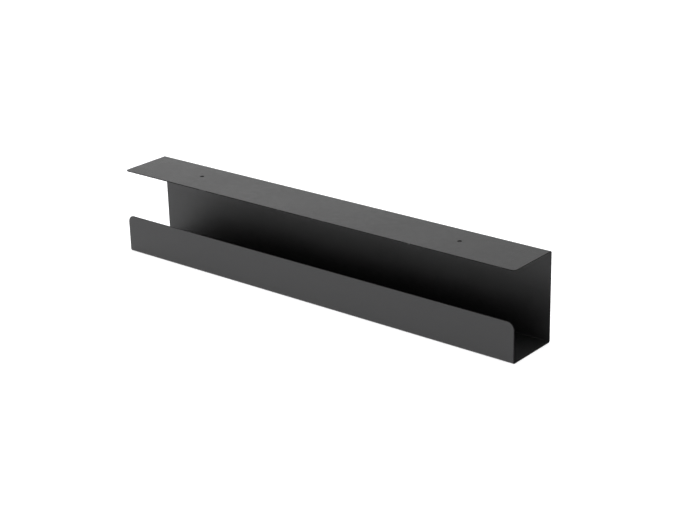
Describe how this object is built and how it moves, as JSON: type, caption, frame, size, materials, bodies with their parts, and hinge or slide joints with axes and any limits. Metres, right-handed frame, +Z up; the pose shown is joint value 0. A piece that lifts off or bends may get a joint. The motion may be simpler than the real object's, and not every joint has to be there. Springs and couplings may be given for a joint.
{
  "type": "cable tray",
  "caption": "Black under-desk cable tray folded from sheet steel into a C, with a screw flange, a full back wall and a low front lip, plus its wood screws.",
  "frame": {"origin": "centre of the flange's top face, which lies against the underside of the desk", "axes": "+X along the tray, +Y from the open front to the back wall, +Z up towards the desk"},
  "size_m": [0.6, 0.074, 0.111],
  "materials": {
    "black_powder_coat": "black powder coat, fine texture, semi-matt",
    "black_zinc": "black zinc plate, satin"
  },
  "bodies": {
    "tray": {"folded_tray": "black_powder_coat"},
    "left_screw": {"fixing_screw_left": "black_zinc"},
    "right_screw": {"fixing_screw_right": "black_zinc"}
  },
  "joints": [
    {"name": "left_screw_drive", "type": "slide", "parent": "tray", "child": "left_screw", "axis": [0, 0, 1], "range_m": [0, 0.0119]},
    {"name": "right_screw_drive", "type": "slide", "parent": "tray", "child": "right_screw", "axis": [0, 0, 1], "range_m": [0, 0.0119]}
  ]
}
